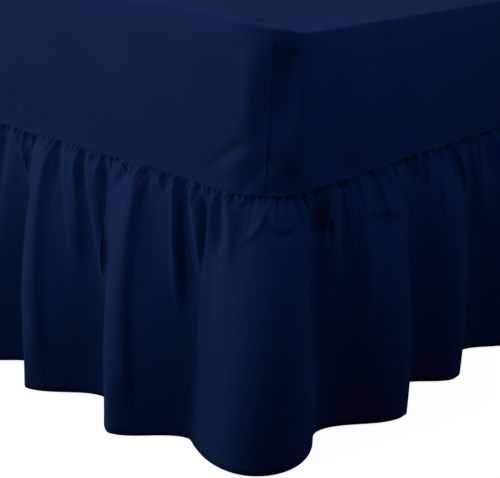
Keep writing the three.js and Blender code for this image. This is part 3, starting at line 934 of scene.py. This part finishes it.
panel_cloth = navy_cotton("navy_cotton_panel", stitch_line=8, seam_line=14,
                          pucker_reach=5, pucker_depth=1.2)
frill_cloth = navy_cotton("navy_cotton_frill", stitch_line=FRILL_DROP - HEM_DEPTH, seam_line=0,
                          pucker_reach=14, pucker_depth=6)
panel = make_panel(panel_cloth)
frill = make_frill(frill_cloth)

ticking = bed_cloth("mattress_ticking", pale=(0.72, 0.70, 0.66, 1), dark=(0.60, 0.58, 0.54, 1),
                    pitch=1.1, roughness=0.8)
upholstery = bed_cloth("base_upholstery", pale=(0.30, 0.28, 0.26, 1), dark=(0.22, 0.205, 0.19, 1),
                       pitch=1.8, roughness=0.9)
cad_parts["mattress"].data.materials[0] = ticking
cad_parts["divan_base"].data.materials[0] = upholstery

# Camera, set back from the drawn corner's seam as for the photograph: lens and sensor, turns, and
# place in millimetres from the point where the seam's two straight sides would meet
FOCAL_LENGTH = 80.275
SENSOR_WIDTH = 36
CAMERA_YAW = np.radians(38.0112)
CAMERA_PITCH = np.radians(20.0708)
CAMERA_ROLL = np.radians(3.3782)
CAMERA_FROM_CORNER = (908.92, -1206.55, 498.54)


def make_camera():
    """Camera that looks down along its yaw and pitch and is then rolled about its own axis."""
    yaw, pitch, roll = CAMERA_YAW, CAMERA_PITCH, CAMERA_ROLL
    ahead = np.array([-np.sin(yaw) * np.cos(pitch), np.cos(yaw) * np.cos(pitch), -np.sin(pitch)])
    level = np.array([np.cos(yaw), np.sin(yaw), 0])
    upward = np.cross(level, ahead)
    right = np.cos(roll) * level + np.sin(roll) * upward
    up = np.cos(roll) * upward - np.sin(roll) * level
    corner = np.array([CENTRE[0] + HALF[0], CENTRE[1] - HALF[1], SEAM_Z])
    place = (corner + CAMERA_FROM_CORNER) * MM
    lens = bpy.data.cameras.new("camera")
    lens.sensor_width = SENSOR_WIDTH
    lens.lens = FOCAL_LENGTH
    camera = bpy.data.objects.new("camera", lens)
    turned = np.eye(4)
    turned[:3] = np.stack([right, up, -ahead, place], axis=-1)
    camera.matrix_world = Matrix(turned.tolist())
    bpy.context.scene.collection.objects.link(camera)
    bpy.context.scene.camera = camera


make_camera()


def make_floor():
    """Wide level floor, white to the eye, that throws little light back on the hem."""
    bpy.ops.mesh.primitive_plane_add(size=40, location=(0, 0, 0))
    floor = bpy.context.object
    floor.name = "floor"
    material, tree, shader = new_material("pale_floor")
    shader.inputs["Base Color"].default_value = (0.05, 0.05, 0.05, 1)
    shader.inputs["Roughness"].default_value = 0.9
    shader.inputs["Specular IOR Level"].default_value = 0.1
    matt = add(tree, "BsdfDiffuse", {"Color": (0.5, 0.5, 0.5, 1)}).outputs[0]
    glow = add(tree, "Emission", {"Color": (1, 1, 1, 1), "Strength": 0.93}).outputs[0]
    seen = add(tree, "AddShader", {0: matt, 1: glow}).outputs[0]
    looked_at = add(tree, "LightPath").outputs["Is Camera Ray"]
    chosen = add(tree, "MixShader", {0: looked_at, 1: shader.outputs[0], 2: seen}).outputs[0]
    tree.links.new(chosen, tree.nodes["Material Output"].inputs["Surface"])
    floor.data.materials.append(material)


make_floor()


def make_light(name, place, aim, size, power, colour):
    """Square soft light at a place, turned to face a point, both in metres."""
    data = bpy.data.lights.new(name, "AREA")
    data.size = size
    data.energy = power
    data.color = colour
    light = bpy.data.objects.new(name, data)
    light.visible_camera = False
    bpy.context.scene.collection.objects.link(light)
    away = np.array(place, float) - np.array(aim, float)
    away /= np.linalg.norm(away)
    side = np.cross([0, 0, 1], away)
    side /= np.linalg.norm(side)
    turned = np.eye(4)
    turned[:3] = np.stack([side, np.cross(away, side), away, place], axis=-1)
    light.matrix_world = Matrix(turned.tolist())


# Lights in metres and watts: a large one to the left of the corner, which gives most of the light,
# one high up beyond the bed, one far to the right, a small one near each wall, and one behind the
# bed, lower than its top
LIGHTS = [
    {"name": "window", "place": (-3.38, -2.91, 1.79), "aim": (0.4, -0.9, 0.4),
     "size": 2.4, "power": 128, "colour": (0.92, 1, 0.88)},
    {"name": "high_back", "place": (-1.97, 1.27, 3.34), "aim": (0.675, -0.95, 0.45),
     "size": 2.0, "power": 55, "colour": (0.5, 0.85, 0.93)},
    {"name": "far_right", "place": (3.2, 2.66, 1.39), "aim": (0.675, -0.95, 0.45),
     "size": 2.0, "power": 35, "colour": (0.46, 0.81, 1)},
    {"name": "left_soft_box", "place": (0.27, -2.06, 1.0), "aim": (0.675, -0.95, 0.55),
     "size": 0.7, "power": 7.3, "colour": (0.5, 0.86, 1)},
    {"name": "right_soft_box", "place": (1.315, -0.837, 1.576), "aim": (0.675, -0.95, 0.55),
     "size": 0.7, "power": 6, "colour": (0.3, 0.68, 1)},
    {"name": "behind", "place": (-1.2, 4.2, 0.38), "aim": (0, 0.95, 0.38),
     "size": 0.5, "power": 50, "colour": (0.9, 1, 0.9)},
]
for light in LIGHTS:
    make_light(**light)


def make_world():
    """Even studio surround: dim and cool where it lights the bed, white where it is seen."""
    world = bpy.data.worlds.new("studio")
    world.use_nodes = True
    tree = world.node_tree
    dim = add(tree, "Background", {"Color": (0.4, 0.7, 1, 1), "Strength": 0.004}).outputs[0]
    white = add(tree, "Background", {"Color": (1, 1, 1, 1), "Strength": 1}).outputs[0]
    looked_at = add(tree, "LightPath").outputs["Is Camera Ray"]
    chosen = add(tree, "MixShader", {0: looked_at, 1: dim, 2: white}).outputs[0]
    tree.links.new(chosen, tree.nodes["World Output"].inputs["Surface"])
    bpy.context.scene.world = world


make_world()
bpy.context.scene.view_settings.view_transform = "Standard"

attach(panel, "root")
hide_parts("fitted_panel")
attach(frill, "root")
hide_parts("frill")
